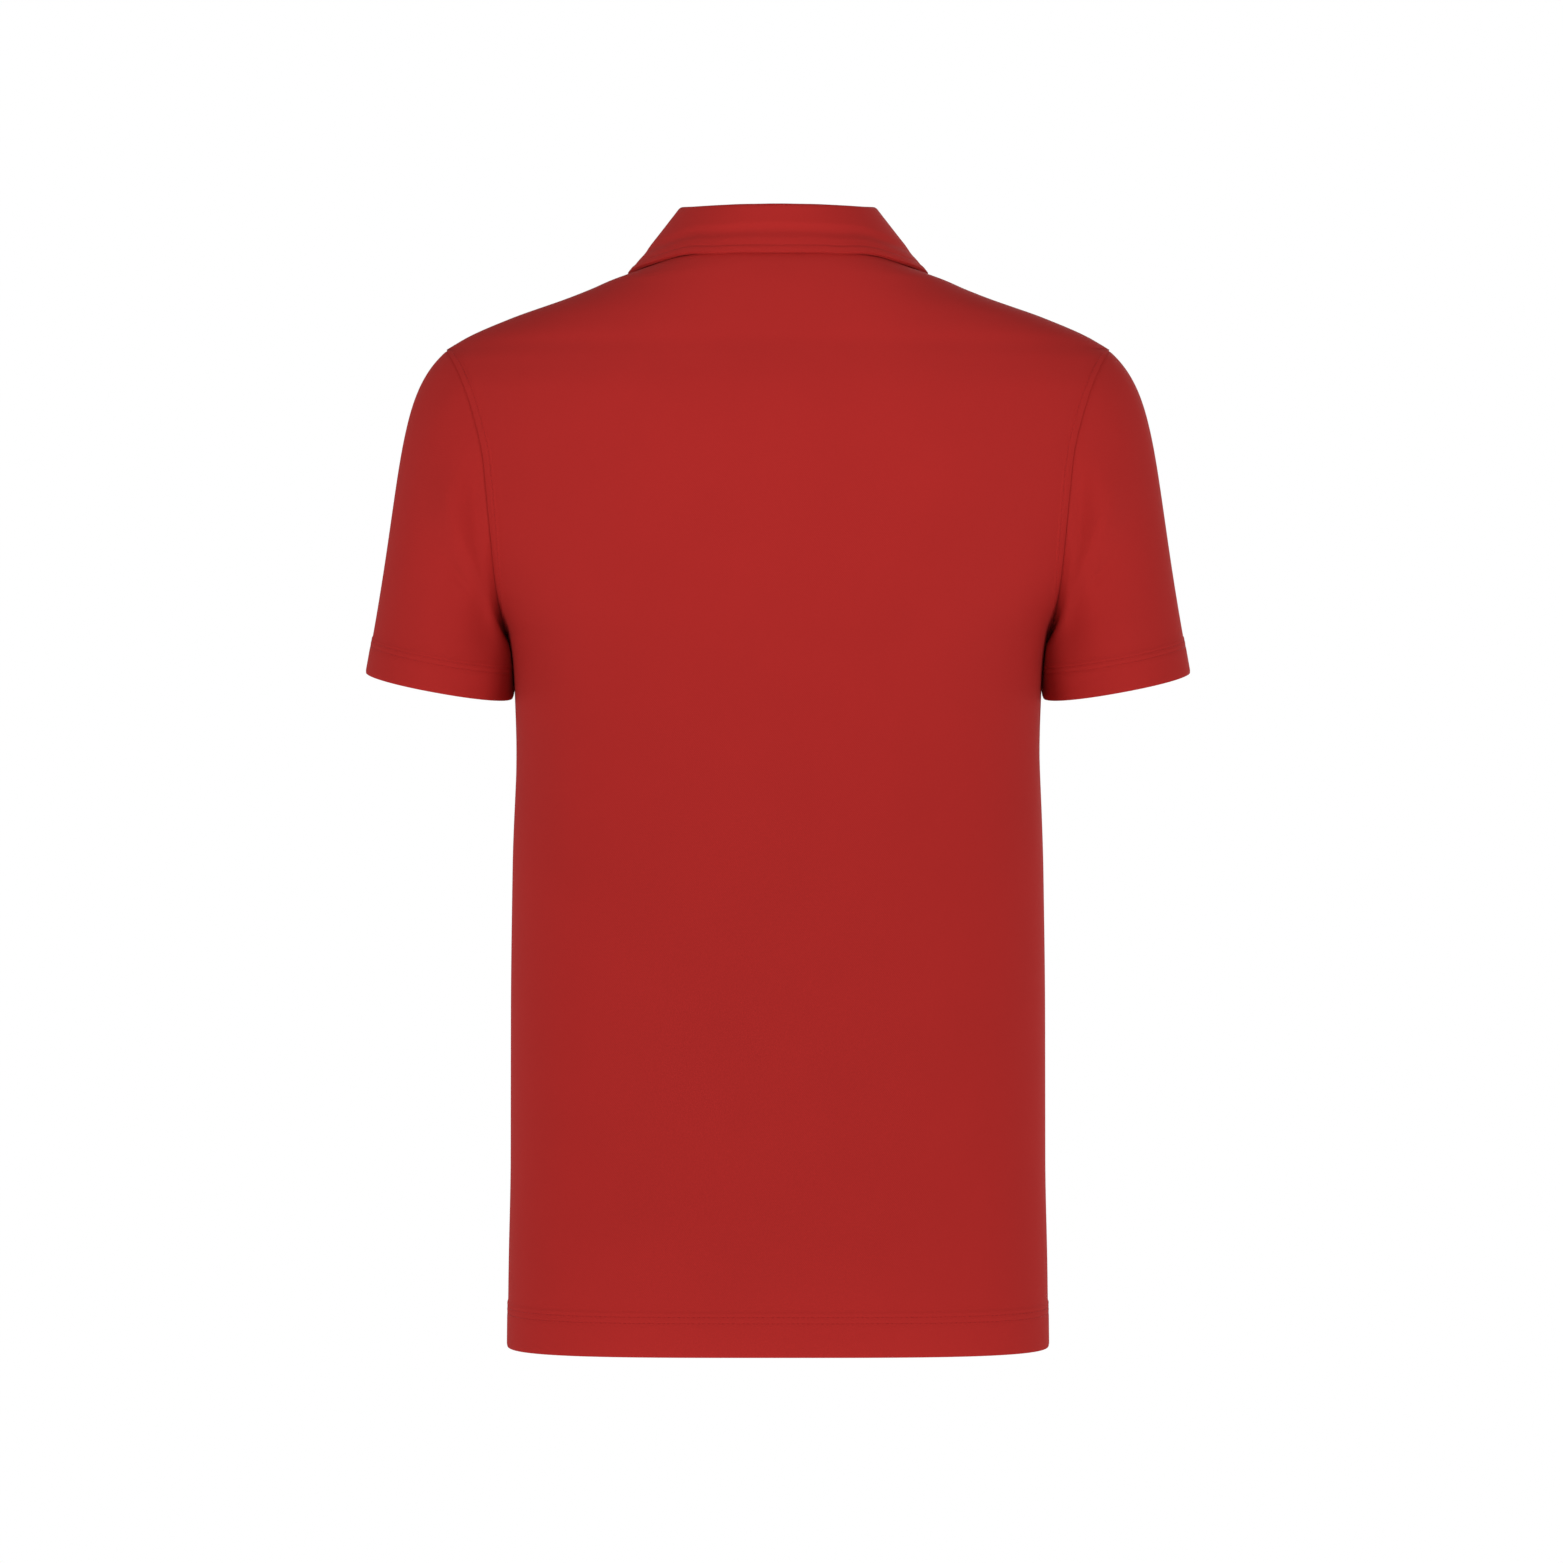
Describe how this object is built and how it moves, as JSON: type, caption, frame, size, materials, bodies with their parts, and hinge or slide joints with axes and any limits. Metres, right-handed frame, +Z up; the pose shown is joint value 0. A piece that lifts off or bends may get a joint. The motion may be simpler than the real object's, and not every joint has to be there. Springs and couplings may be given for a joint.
{
  "type": "polo shirt",
  "caption": "Short-sleeved polo shirt in its worn, hollow form, with a turned-down collar, a buttoned front placket and open hem, cuffs and neck.",
  "frame": {"origin": "midway between the two points where the shoulder seams meet the collar, at their height", "axes": "+Z up to the head, -Y to the front of the shirt, +X to the wearer's left"},
  "size_m": [0.5498, 0.2315, 0.7555],
  "materials": {
    "red_knit": "matte plain knit",
    "red_button": "soft gloss, dyed to match"
  },
  "bodies": {
    "root": {"back": "red_knit", "front": "red_knit", "sleeve_left": "red_knit", "sleeve_right": "red_knit", "collar": "red_knit", "placket_top": "red_knit", "placket_under": "red_knit", "button_1": "red_button", "button_2": "red_button", "button_3": "red_button"}
  },
  "joints": []
}
